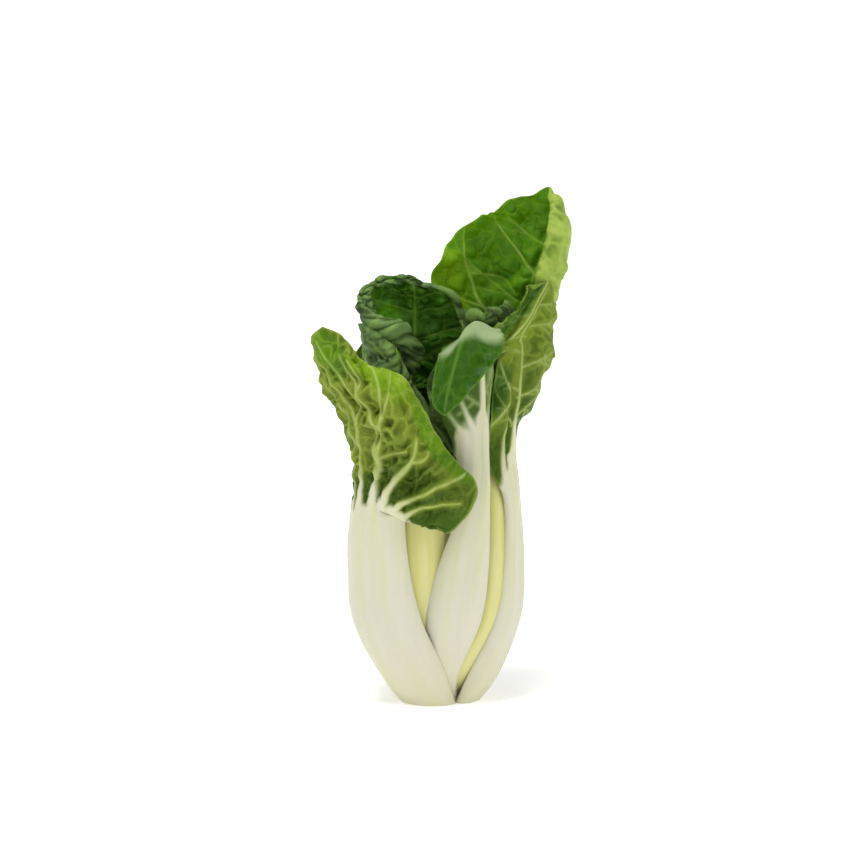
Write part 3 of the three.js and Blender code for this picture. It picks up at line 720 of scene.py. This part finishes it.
# the leaves, from the outermost in: the rails are (x, y, z) in mm, veins and creases are a route
# of (k, s) with its widths in mm, patches are (k, s, reach along k, reach along s), arches and
# rolls are (k, degrees) and bladeLine is (s, k)
leaves = [
    dict(
        leafShape, name="frontLeftLeaf", node="leaf_front_left", slot="outer_leaf", skin="outerLeafSkin",
        seed=11,
        midrib=[(-4, -11, -3), (-13, -17, 12), (-22, -23, 36), (-24, -25, 60), (-25, -26, 84),
            (-26, -27, 92), (-27, -28, 100), (-30, -29, 114), (-33, -29, 127), (-36, -28, 138),
            (-41, -26, 150), (-44.5, -24, 158), (-46.5, -24, 163)],
        left=[(-7, -3, -3), (-20.5, -4, 12), (-33.5, -4, 36), (-35.5, -5, 60), (-35, -6, 84),
            (-34.5, -7.5, 91), (-34, -9, 98), (-34, -15, 110), (-40, -17, 122), (-48, -19, 136),
            (-52, -21, 149), (-51.5, -22, 158), (-46.5, -24, 163)],
        right=[(10, -12, -3), (4.5, -19, 16), (-5, -25, 38), (-10.5, -27, 62), (-12, -29, 84),
            (-7.5, -33.5, 84.2), (5, -41.5, 77.5), (18, -42, 96), (5, -38, 113), (-12.5, -33, 143),
            (-28, -29, 148), (-38, -26, 159), (-46.5, -24, 163)],
        bladeFrom=4.6, ruffle=0.8, cell=6, blister=2.1, crumple=0.7, veinRelief=0.38, sideVeins=0,
        midribShown=False,
        bladeLine=[(-1, 3.9), (-0.6, 4.1), (-0.2, 4.3), (0.1, 4.6), (0.3, 5.2), (0.5, 5.5), (0.7, 5.4),
            (1, 5.1)],
        # painted light shining through the blade
        paintedLightThrough=[(9.5, 0.75, 1, 0.5)],
        showsInner=[(7.9, 0.93, 0.95, 0.17), (6.1, 0.93, 0.5, 0.25), (10.6, -0.1, 1.5, 0.85)],
        creases=[
            ([(6.9, 0.83), (7.5, 0.78), (8.2, 0.74), (8.9, 0.76)], [2.2, 3.4, 3, 1.5]),
            ([(5.6, 0.2), (6.3, 0.22), (7.3, 0.34)], [1, 3, 1]),
            ([(6.3, 0.42), (6.6, 0.5), (7.1, 0.68)], [1, 2.6, 1.2])],
        handVeins=[
            ([(3.4, -0.62), (4, -0.6), (4.8, -0.57), (6.2, -0.5), (7.3, -0.38), (8.5, -0.35)],
             [5, 4, 2, 1.3, 1, 0.6]),
            ([(2.6, -0.4), (3.8, -0.38), (4.4, -0.36), (5.8, -0.28), (6.7, -0.12), (8.5, 0.12), (10, 0.4)],
             [5, 6.5, 5, 2.6, 1.9, 1.4, 0.7]),
            ([(2.6, 0), (3.8, 0.03), (4.6, 0.06), (6.18, 0.13), (6.98, 0.19), (7.69, 0.21), (8.5, 0.49),
              (9.2, 0.88)],
             [5, 7, 6.5, 4.4, 2.7, 1.3, 0.9, 0.6]),
            ([(2.9, 0.36), (4.4, 0.32), (5.8, 0.3), (6.3, 0.3), (6.8, 0.38), (7.49, 0.55), (8.08, 0.72)],
             [4, 6, 4.6, 3.2, 2.2, 1.3, 0.8]),
            ([(3.4, 0.56), (5.2, 0.48), (6.1, 0.45), (6.5, 0.55), (7.1, 0.79), (7.4, 0.95)],
             [4, 4.6, 2.8, 1.5, 1, 0.6]),
            ([(4.4, 0.66), (5.8, 0.56), (6.33, 0.62), (6.57, 0.76), (6.7, 0.9)],
             [4.5, 2.6, 1.5, 0.9, 0.5]),
            ([(8.4, 0.11), (9.2, -0.05), (9.9, -0.3), (10.8, -0.6)], [1.2, 1, 0.8, 0.5]),
            ([(7.8, 0.03), (8.5, -0.2), (9.3, -0.45), (10.3, -0.8)], [1.2, 1, 0.8, 0.5]),
            ([(7, -0.08), (7.6, -0.3), (8.4, -0.6), (9.2, -0.8)], [1.3, 1, 0.8, 0.5]),
            ([(6.3, -0.5), (6.8, -0.75), (7.6, -0.92)], [1.2, 0.9, 0.5]),
            ([(6.98, 0.19), (7.9, 0.3), (8.8, 0.5), (9.7, 0.78)], [2, 1.3, 1.1, 0.7]),
            ([(7, 0.2), (7.3, 0.33), (7.6, 0.5)], [1.1, 0.9, 0.7]),
            ([(7.9, 0.3), (8.5, 0.2), (9.3, 0.15), (10.2, 0.25)], [1.2, 1, 0.7, 0.5]),
            ([(7.3, 0.5), (7.5, 0.63), (7.9, 0.8)], [1.1, 0.9, 0.6])]),
    dict(
        leafShape, name="frontCentreLeaf", node="leaf_front_centre", slot="middle_leaf",
        skin="waxyLeafSkin", seed=23,
        midrib=[(6, -8, 2), (7, -14, 14), (8.5, -21, 38), (12.5, -23, 62), (18, -22, 90), (19, -20, 114),
            (20.5, -21, 138), (18, -26, 165), (12, -37, 162), (6, -44, 141), (4, -45, 128)],
        left=[(0, -9, 2), (0, -15, 14), (-5, -19, 38), (2, -23, 62), (11, -23, 90), (8, -24, 112),
            (1, -26, 132), (3.5, -29, 153), (1, -37, 150), (-1, -42.5, 134), (4, -45, 128)],
        right=[(9, -7, 2), (10, -13, 14), (20, -18, 38), (23, -20, 62), (23, -20, 90), (23, -19, 114),
            (24, -18, 138), (27, -24, 161), (28, -36, 155), (14, -44, 137), (4, -45, 128)],
        bladeFrom=5.3, ruffle=0.8, sway=1, cell=6, blister=0.35, sideVeins=4,
        bladeLine=[(-1, 5), (-0.7, 5.35), (-0.3, 5.45), (0, 5.6), (1, 5.2)],
        # painted highlight along the top of the hood
        paintedHighlightPatches=[(7.65, -0.3, 0.6, 0.8), (7.4, 0.5, 0.6, 0.8)],
        handVeins=[
            ([(4.2, -0.2), (5, -0.25), (5.6, -0.45), (6.3, -0.65)], [3, 4, 2.4, 1.2]),
            ([(4.2, -0.5), (5, -0.55), (5.5, -0.75), (5.9, -0.92)], [3, 3.6, 2, 1]),
            ([(4.4, 0.4), (5.2, 0.5), (6, 0.7)], [2.5, 2.5, 1])]),
    dict(
        leafShape, name="rightLeaf", node="leaf_right", slot="outer_leaf", skin="smoothLeafSkin", seed=37,
        midrib=[(11, -7, -3), (22, -9, 13), (31, -10, 38), (32, -11, 62), (31.5, -10, 88), (31, -12, 110),
            (34, -12, 134), (37.5, -11, 155), (43, -9, 170), (49, -6, 181)],
        left=[(8, -11, -3), (14.5, -15, 13), (26, -16, 38), (29.5, -16, 62), (29.5, -15, 88),
            (23, -17, 104), (24, -19, 128), (27, -16, 150), (31, -13, 163), (49, -6, 181)],
        right=[(13, 2, -3), (25.5, 4, 13), (34, 8, 38), (34.5, 8, 62), (32, 6, 88), (32, 2, 108),
            (41, -1, 126), (50, -2, 145), (52.5, -3, 163), (49, -6, 181)],
        bladeFrom=5.2, cell=7, blister=0.8, crumple=0.5, veinWidth=2, sideVeins=5, leftRollWidth=10,
        midribShown=False,
        leftRoll=[(0, 0), (6.9, 0), (7.5, 165), (8.6, 165), (9, 60)],
        bladeLine=[(-1, 4.4), (-0.6, 4.5), (-0.2, 4.75), (0.1, 5.2), (0.3, 5.25), (1, 4.9)],
        handVeins=[
            ([(3.9, 0.1), (4.8, 0.14), (5.3, 0.16), (5.7, 0.15), (6.4, 0.03), (7.2, -0.12), (7.9, -0.02),
              (8.7, 0.15)],
             [6, 5.5, 3.4, 1.8, 1.4, 1.2, 0.8, 0.4]),
            ([(7.3, -0.7), (7.35, -0.4), (7.7, -0.22), (8.3, -0.1), (8.9, -0.05)],
             [0.6, 1.3, 1.5, 1.3, 0.8]),
            ([(6.95, -0.98), (6.6, -0.75), (6.3, -0.5), (6, -0.3), (5.85, -0.55), (5.7, -0.98)],
             [0.5, 1, 1.3, 1.3, 1, 0.6]),
            ([(4.4, -0.5), (4.9, -0.42), (5.4, -0.35), (5.9, -0.25)], [3, 2.4, 1.5, 0.8])],
        creases=[
            ([(6.8, -0.4), (6.3, -0.3), (5.8, -0.25), (5.3, -0.2)], [1.5, 2.5, 2.5, 1.5]),
            ([(7.4, -0.5), (7.8, -0.4), (8.5, -0.35)], [2, 3.5, 2])],
        showsInner=[(6.3, -0.85, 0.55, 0.62), (8.3, -0.62, 0.85, 0.5), (8.9, -0.6, 0.5, 0.55)]),
    dict(
        leafShape, name="tallBackLeaf", node="leaf_back_right", slot="middle_leaf", skin="freshLeafSkin",
        seed=41,
        midrib=[(8, 8, -3), (18, 16, 13), (25, 22, 38), (27, 24, 62), (29, 22, 95), (33, 19, 143),
            (38, 17, 166), (43, 16, 184), (49, 14, 203), (49, 12, 219)],
        left=[(11, 2, -3), (19, 3, 13), (27, 4, 38), (28.5, 4, 62), (29, 4, 95), (41, 8, 143),
            (43, 2, 162), (43, -1, 182), (47.5, 1, 204), (49, 12, 219)],
        right=[(3, 11, -3), (8, 24, 13), (9, 32, 38), (12, 33, 62), (20, 28, 95), (20, 22, 150),
            (0, 18, 176), (9, 18, 198), (27, 16, 210), (49, 12, 219)],
        bladeFrom=4.6, ruffle=1.2, cell=7, blister=1.3, crumple=0.5, veinWidth=2, sideVeins=3,
        veinRise=0.9,
        leftArch=[(0, 25), (4, 25), (5, 60), (6, 104), (8, 108), (9, 100)],
        # painted light shining through the blade, and painted light on the inner face
        paintedLightThrough=[(6.1, 0.85, 0.7, 0.3)],
        paintedLightInside=[(6, 0.95, 0.8, 0.35)],
        handVeins=[
            ([(6.87, 0), (7.2, 0.3), (7.6, 0.74), (7.8, 0.9)], [1.8, 1.2, 0.9, 0.5]),
            ([(5, 0.1), (5.8, 0.47), (6.3, 0.6), (6.7, 0.78), (7.2, 0.97)], [2.4, 2, 1.4, 1, 0.6]),
            ([(5.8, 0.5), (5.85, 0.75), (6, 0.97)], [1.6, 1.2, 0.7]),
            ([(6.4, 0.62), (6.5, 0.3), (6.3, 0.12)], [0.8, 0.6, 0.4])]),
    dict(
        leafShape, name="backLeftLeaf", node="leaf_back_left", slot="outer_leaf", skin="outerLeafSkin",
        seed=53,
        midrib=[(-8, 7, -3), (-18, 14, 12), (-25, 20, 36), (-27, 22, 60), (-26, 23, 84), (-27, 26, 104),
            (-29, 31, 122), (-31, 37, 138), (-30, 43, 150)],
        left=[(-2, 12, -3), (-6, 23, 12), (-7, 31, 36), (-8, 33, 60), (-9, 34, 84), (-7, 40, 104),
            (-6, 46, 124), (-12, 50, 152), (-30, 43, 150)],
        right=[(-7, 0, -3), (-19, 2, 12), (-30, 1, 36), (-31, 0, 60), (-30, 2, 84), (-31, 7, 101),
            (-36, 12, 119), (-40, 22, 137), (-30, 43, 150)],
        bladeFrom=4.6, wingDrop=1.1, blister=1, crumple=0.5),
    dict(
        leafShape, name="backLeaf", node="leaf_back", slot="middle_leaf", skin="freshLeafSkin", seed=67,
        midrib=[(0, 9, -1), (1, 17, 14), (2, 24, 38), (3, 27, 62), (4, 29, 86), (4, 32, 106), (4, 37, 126),
            (3, 44, 146), (3, 49, 162)],
        left=[(6, 7, -1), (12, 12, 14), (17, 18, 38), (17, 20, 62), (16, 24, 86), (22, 28, 106),
            (27, 32, 126), (21, 42, 149), (3, 49, 162)],
        right=[(-6, 7, -1), (-11, 12, 14), (-14, 18, 38), (-14, 21, 62), (-12, 24, 86), (-16, 28, 106),
            (-21, 33, 126), (-16, 43, 148), (3, 49, 162)],
        bladeFrom=4.6, wingDrop=1, blister=1, crumple=0.5),
    dict(
        innerShape, name="innerFrontLeaf", node="inner_front", seed=71,
        midrib=[(0, -5, 2), (-1, -12, 16), (-3, -19.5, 38), (-3, -22.5, 62), (-4, -20, 88), (-6, -15, 108),
            (-8, -13, 124), (-9, -13, 138)],
        left=[(-5, -4, 2), (-11, -11, 16), (-19, -17, 38), (-21, -18, 62), (-19, -17, 88), (-17, -13, 108),
            (-16, -10, 124), (-9, -13, 138)],
        right=[(5, -4, 2), (7, -8, 16), (8, -12, 38), (8, -14, 62), (6, -13, 88), (3, -12, 108),
            (0, -12, 124), (-9, -13, 138)],
        bladeFrom=4, blister=1),
    dict(
        innerShape, name="innerLeftLeaf", node="inner_left", seed=83,
        midrib=[(-8, 0, 4), (-16, -2, 30), (-22, -4, 60), (-25, -6, 90), (-25, -8, 115), (-26, -9, 134),
            (-29, -9, 152), (-32, -9, 163)],
        left=[(-9, 5, 4), (-17, 6, 30), (-23, 7, 60), (-27, 7, 90), (-28, 6, 115), (-27, 5, 135),
            (-27, 3, 153), (-32, -9, 163)],
        right=[(-5, -6, 4), (-10, -10, 30), (-14, -12, 60), (-16, -14, 90), (-16, -16, 112),
            (-14.5, -17, 131), (-21, -17, 150), (-32, -9, 163)],
        bladeFrom=3.6, segment=6, cell=5, blister=1.6,
        rightRoll=[(0, 0), (3.4, 0), (4.4, -230), (6, -250), (7, -180)],
        rightRollWidth=[(0, 8), (4, 15), (6, 18), (7, 8)]),
    dict(
        innerShape, name="innerRightLeaf", node="inner_right", seed=97,
        midrib=[(7, -4, 2), (13, -13.5, 16), (24.5, -15, 38), (27, -15.5, 62), (26.5, -13, 88),
            (25, -6, 112), (25, -4, 134), (26, -6, 154), (25, -12, 167), (21, -18, 166)],
        left=[(4, -6, 2), (6, -12, 16), (17, -15, 38), (20, -16, 62), (19, -14, 88), (15, -10, 112),
            (12, -11, 134), (13, -13, 154), (16, -17, 164), (21, -18, 166)],
        right=[(8, 1, 2), (20, -5, 16), (28, -5, 38), (31, -4, 62), (31, -2, 88), (33, 1, 112),
            (35, 0, 134), (37, -3, 154), (33, -9, 166), (21, -18, 166)],
        bladeFrom=4.6, segment=6.5, segmentRise=0.8, blister=1.6, leftRollWidth=6, rightRollWidth=6,
        leftRoll=[(0, 0), (6, 0), (7, -150), (9, -170)],
        rightRoll=[(0, 0), (6, 0), (7, -150), (9, -170)]),
    dict(
        innerShape, name="innerCentreLeaf", node="inner_centre", seed=101,
        midrib=[(-2, 4, 4), (-5, 8, 30), (-9, 9, 60), (-12, 8, 90), (-17, 6, 115), (-16, 6, 133),
            (-10, 9, 150), (-8, 10, 163), (-8, 9, 173), (-10, 8, 180)],
        left=[(2, 6, 4), (4, 10, 30), (4, 12, 60), (2, 12, 90), (3, 11, 115), (10, 10, 135), (14, 10, 150),
            (12, 11, 164), (6, 10, 175), (-10, 8, 180)],
        right=[(-6, 3, 4), (-12, 6, 30), (-17, 7, 60), (-20, 6, 90), (-23, 3, 113), (-18, 0, 130),
            (-13, -3, 150), (-31, -3, 167), (-29, 3, 178), (-10, 8, 180)],
        bladeFrom=3.6, ruffle=0.8, frill=0.1, segment=7, segmentRise=1, veinClear=0.25, cell=7, blister=3,
        crumple=0.5, veinWidth=2.2,
        leftRoll=[(0, 0), (5.6, 0), (6.6, -180), (8, -190), (9, -180)],
        rightRoll=[(0, 0), (4.6, 0), (5.4, -230), (7, -250), (7.6, -220), (9, -190)],
        leftRollWidth=[(0, 6), (6, 6), (7.5, 7), (9, 7)],
        rightRollWidth=[(0, 10), (5, 13), (7, 17), (8, 11), (9, 7)],
        # painted light on patches of the inner face
        paintedLightInside=[(6.6, 0.28, 0.9, 0.16), (5.6, 0, 0.5, 0.3)]),
    dict(
        innerShape, name="heartRightLeaf", node="heart_right", seed=113,
        midrib=[(4, 0, 6), (7, 1, 30), (8, 1, 60), (8, 0, 90), (8, -2, 112), (7, -5, 130), (5, -8, 144),
            (3, -12, 149)],
        left=[(3, -3, 6), (4, -5, 30), (4, -6, 60), (3, -8, 90), (0, -12, 112), (-2, -14, 128),
            (-2, -15, 140), (3, -12, 149)],
        right=[(3, 4, 6), (5, 7, 30), (6, 8, 60), (6, 7, 90), (8, 5, 112), (10, 3, 130), (9, -2, 145),
            (3, -12, 149)],
        bladeFrom=3.6, stalk=4, blister=1, veinWidth=1.6),
    dict(
        innerShape, name="heartBackLeaf", node="heart_back", seed=127,
        midrib=[(-1, 2, 6), (-2, 3, 30), (-3, 3, 60), (-4, 2, 90), (-4, 1, 110), (-4, -2, 122)],
        left=[(2, 2, 6), (3, 4, 30), (3, 4, 60), (3, 3, 90), (3, 1, 108), (-4, -2, 122)],
        right=[(-4, 0, 6), (-6, 0, 30), (-8, -2, 60), (-10, -4, 90), (-10, -6, 108), (-4, -2, 122)],
        bladeFrom=2.6, stalk=4, blister=1, veinWidth=1.6),
]

# the root end that the leaves grow from: a flat cut underneath, a small bevel, then a dome
crown = {
    "radius": 1.3,  # times the radius of the part's own crown
    "rise": 9.0,  # mm
    "wobble": 0.5,  # mm, dents in the cut
    "bevel": 0.6,  # mm, height of the bevel
    "lip": 0.04,  # share of the radius that the bevel takes
    "cutShare": 0.4,  # of the rings
    "bevelShare": 0.15,
    "domeShare": 0.45,
    "domeCurve": 1.6,
    "rings": 40,
    "spokes": 160,
    "flesh": "#d9d3a6",
    "fleshDeep": "#b9ad74",
    "bundle": "#9a8c58",  # the cut ends of the strings
}


def growCrown():
    wide = (crownHigh[0] - crownLow[0]) / 2 / unit * crown["radius"]
    bevel, lip = crown["bevel"], crown["lip"]
    bevelEnd = crown["cutShare"] + crown["bevelShare"]
    angles = np.linspace(0, 2 * math.pi, crown["spokes"], endpoint=False)
    lobes = 1 + 0.05 * np.sin(5 * angles + 0.7) + 0.03 * np.sin(11 * angles + 2.1)
    profile = []
    for ring in range(crown["rings"]):
        t = ring / (crown["rings"] - 1)
        if t < crown["cutShare"]:
            profile.append((wide * t / crown["cutShare"] * (1 - lip), 0.0))
        elif t < bevelEnd:
            turn = (t - crown["cutShare"]) / crown["bevelShare"] * math.pi / 2
            profile.append((wide * (1 - lip + lip * math.sin(turn)), bevel * (1 - math.cos(turn))))
        else:
            share = (t - bevelEnd) / crown["domeShare"]
            reach = wide * (1 - share ** crown["domeCurve"])
            profile.append((reach, bevel + (crown["rise"] - bevel) * share))
    spots = []
    faces = []
    spokes = crown["spokes"]
    for reach, z in profile:
        x, y = reach * lobes * np.cos(angles), reach * lobes * np.sin(angles)
        dent = crown["wobble"] * np.clip(swell(x, y, 5, 5), 0, 1) if z == 0 else 0 * x
        spots.append(np.stack([x, y, z + dent], -1))
    for ring in range(crown["rings"] - 1):
        for i in range(spokes):
            a, b = ring * spokes + i, ring * spokes + (i + 1) % spokes
            faces.append((a, a + spokes, b + spokes, b))
    body = bpy.data.meshes.new("rootCrown")
    body.from_pydata(np.concatenate(spots) * unit, [], faces)
    work = bmesh.new()
    work.from_mesh(body)
    bmesh.ops.remove_doubles(work, verts=work.verts[:], dist=0.01 * unit)
    bmesh.ops.recalc_face_normals(work, faces=work.faces[:])
    work.to_mesh(body)
    work.free()
    return placed(body)


# put the head together

for leaf in leaves:
    piece = growLeaf(leaf)
    piece.data.materials.append(skins[leaf["skin"]])
    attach(piece, "root")
    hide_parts(leaf["node"])
    print("leaf grown:", leaf["name"], len(piece.data.polygons), "faces")

rootCrown = growCrown()
rootCrown.data.materials.append(crownSkin("crownSkin", crown))
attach(rootCrown, "root")
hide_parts("root_crown")
print("crown ready")


# floor, light and camera

studio = {
    "floor": "#f4f4f4",
    "floorSize": 600,  # m, so that its far edge lies at the horizon
    "floorGlow": 0.75,  # the far floor glows a little, so that it stays white all the way back
    "sky": 0.45,  # brightness overhead; it rises to 1 at the horizon
    "camera": {"distance": 1.3, "elevation": 8.0, "lens": 129.4, "aim": (-3.83, 0.0, 118.2)},
    "lamps": {
        # name: size in m, power in W, place in m
        "overhead": (0.7, 12.5, (-0.2, -0.25, 1.4)),
        "leftSoft": (0.9, 2.2, (-1.1, -0.8, 0.9)),
        "rightSoft": (0.8, 3.4, (1.1, -0.7, 0.6)),
    },
}


def lamp(name, size, power, place):
    light = bpy.data.lights.new(name, "AREA")
    light.shape = "DISK"
    light.size = size
    light.energy = power
    holder = bpy.data.objects.new(name, light)
    holder.location = place
    aim = Vector((0, 0, drawnHeight / 2 * unit)) - holder.location
    holder.rotation_euler = aim.to_track_quat("-Z", "Y").to_euler()
    bpy.context.collection.objects.link(holder)


floorSkin, start = newSkin("floorSkin")
place = start.node("ShaderNodeTexCoord", {}, {}, out="Object")
away = start.node("ShaderNodeVectorMath", {"operation": "LENGTH"}, {0: place}, out="Value")
glow = studio["floorGlow"] * (0.5 + 0.5 * away.between(0.03, 0.5))
paper = start.node("ShaderNodeBsdfPrincipled", {}, {
    "Base Color": tint(studio["floor"]), "Roughness": 0.9, "Specular IOR Level": 0.1,
    "Emission Color": start.node("ShaderNodeCombineXYZ", {}, {"X": glow, "Y": glow, "Z": glow}),
    "Emission Strength": 1.0})
start.node("ShaderNodeOutputMaterial", {}, {"Surface": paper})
bpy.ops.mesh.primitive_plane_add(size=studio["floorSize"])
floor = bpy.context.object
floor.name = "floor"
floor.data.materials.append(floorSkin)

for name, (size, power, place) in studio["lamps"].items():
    lamp(name, size, power, place)

world = bpy.data.worlds.new("studio")
world.use_nodes = True
world.node_tree.nodes.clear()
start = Wire(world.node_tree)
way = start.node("ShaderNodeTexCoord", {}, {}, out="Generated")
upward = start.node("ShaderNodeSeparateXYZ", {}, {0: way}, out="Z")
brightness = 1 - (1 - studio["sky"]) * upward.between(0.02, 0.25)
sky = start.node("ShaderNodeBackground", {}, {"Color": (1, 1, 1, 1), "Strength": brightness})
start.node("ShaderNodeOutputWorld", {}, {"Surface": sky})
scene = bpy.context.scene
scene.world = world
scene.view_settings.view_transform = "Standard"

shot = studio["camera"]
tilt = math.radians(shot["elevation"])
target = Vector(shot["aim"]) * unit
lens = bpy.data.cameras.new("camera")
lens.lens = shot["lens"]
lens.sensor_width = 36.0
camera = bpy.data.objects.new("camera", lens)
camera.location = target + Vector((0, -math.cos(tilt), math.sin(tilt))) * shot["distance"]
camera.rotation_euler = (math.pi / 2 - tilt, 0, 0)
bpy.context.collection.objects.link(camera)
scene.camera = camera
print("studio ready")
